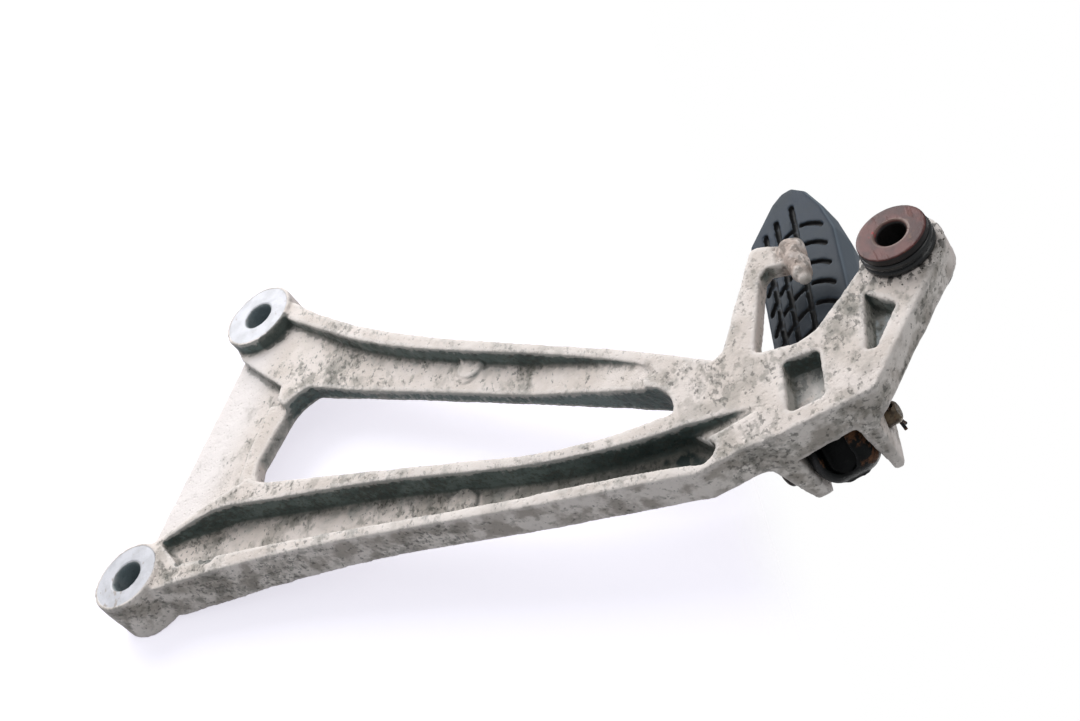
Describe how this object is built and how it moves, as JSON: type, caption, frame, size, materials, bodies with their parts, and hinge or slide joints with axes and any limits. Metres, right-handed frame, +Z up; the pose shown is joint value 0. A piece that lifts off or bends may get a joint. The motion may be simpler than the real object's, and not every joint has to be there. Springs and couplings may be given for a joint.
{
  "type": "motorcycle footrest hanger",
  "caption": "Cast motorcycle footrest hanger with an open triangle between its arms, a rubber-covered folding footpeg, an exhaust mounting eye and a small hook.",
  "frame": {"origin": "on the lower frame bolt's axis, at the inboard face of its boss", "axes": "+X rearward along the bike, +Y outboard along the frame bolts, +Z up"},
  "size_m": [0.2983, 0.0454, 0.1955],
  "materials": {
    "cast_alloy": "oxidised sand-coloured cast surface with dark speckles and dirt",
    "grommet_rubber": "matt black",
    "collar_steel": "brown primer and rust over steel",
    "peg_iron": "black paint, rusty where worn",
    "tread_rubber": "worn slate-grey rubber",
    "plated_steel": "dull yellow plating",
    "dark_steel": "blackened",
    "ball_steel": "bare steel"
  },
  "bodies": {
    "hanger": {"hanger_casting": "cast_alloy", "exhaust_grommet": "grommet_rubber", "exhaust_collar": "collar_steel", "pivot_pin": "plated_steel", "split_pin": "dark_steel"},
    "footpeg": {"peg_bar": "peg_iron", "peg_rubber": "tread_rubber", "detent_ball": "ball_steel", "detent_spring": "ball_steel"}
  },
  "joints": [
    {"name": "footpeg_hinge", "type": "hinge", "parent": "hanger", "child": "footpeg", "pos_m": [0.2353, 0.0212, -0.0705], "axis": [-0.9858, 0.1333, 0.1019], "range_deg": [0, 90]}
  ]
}
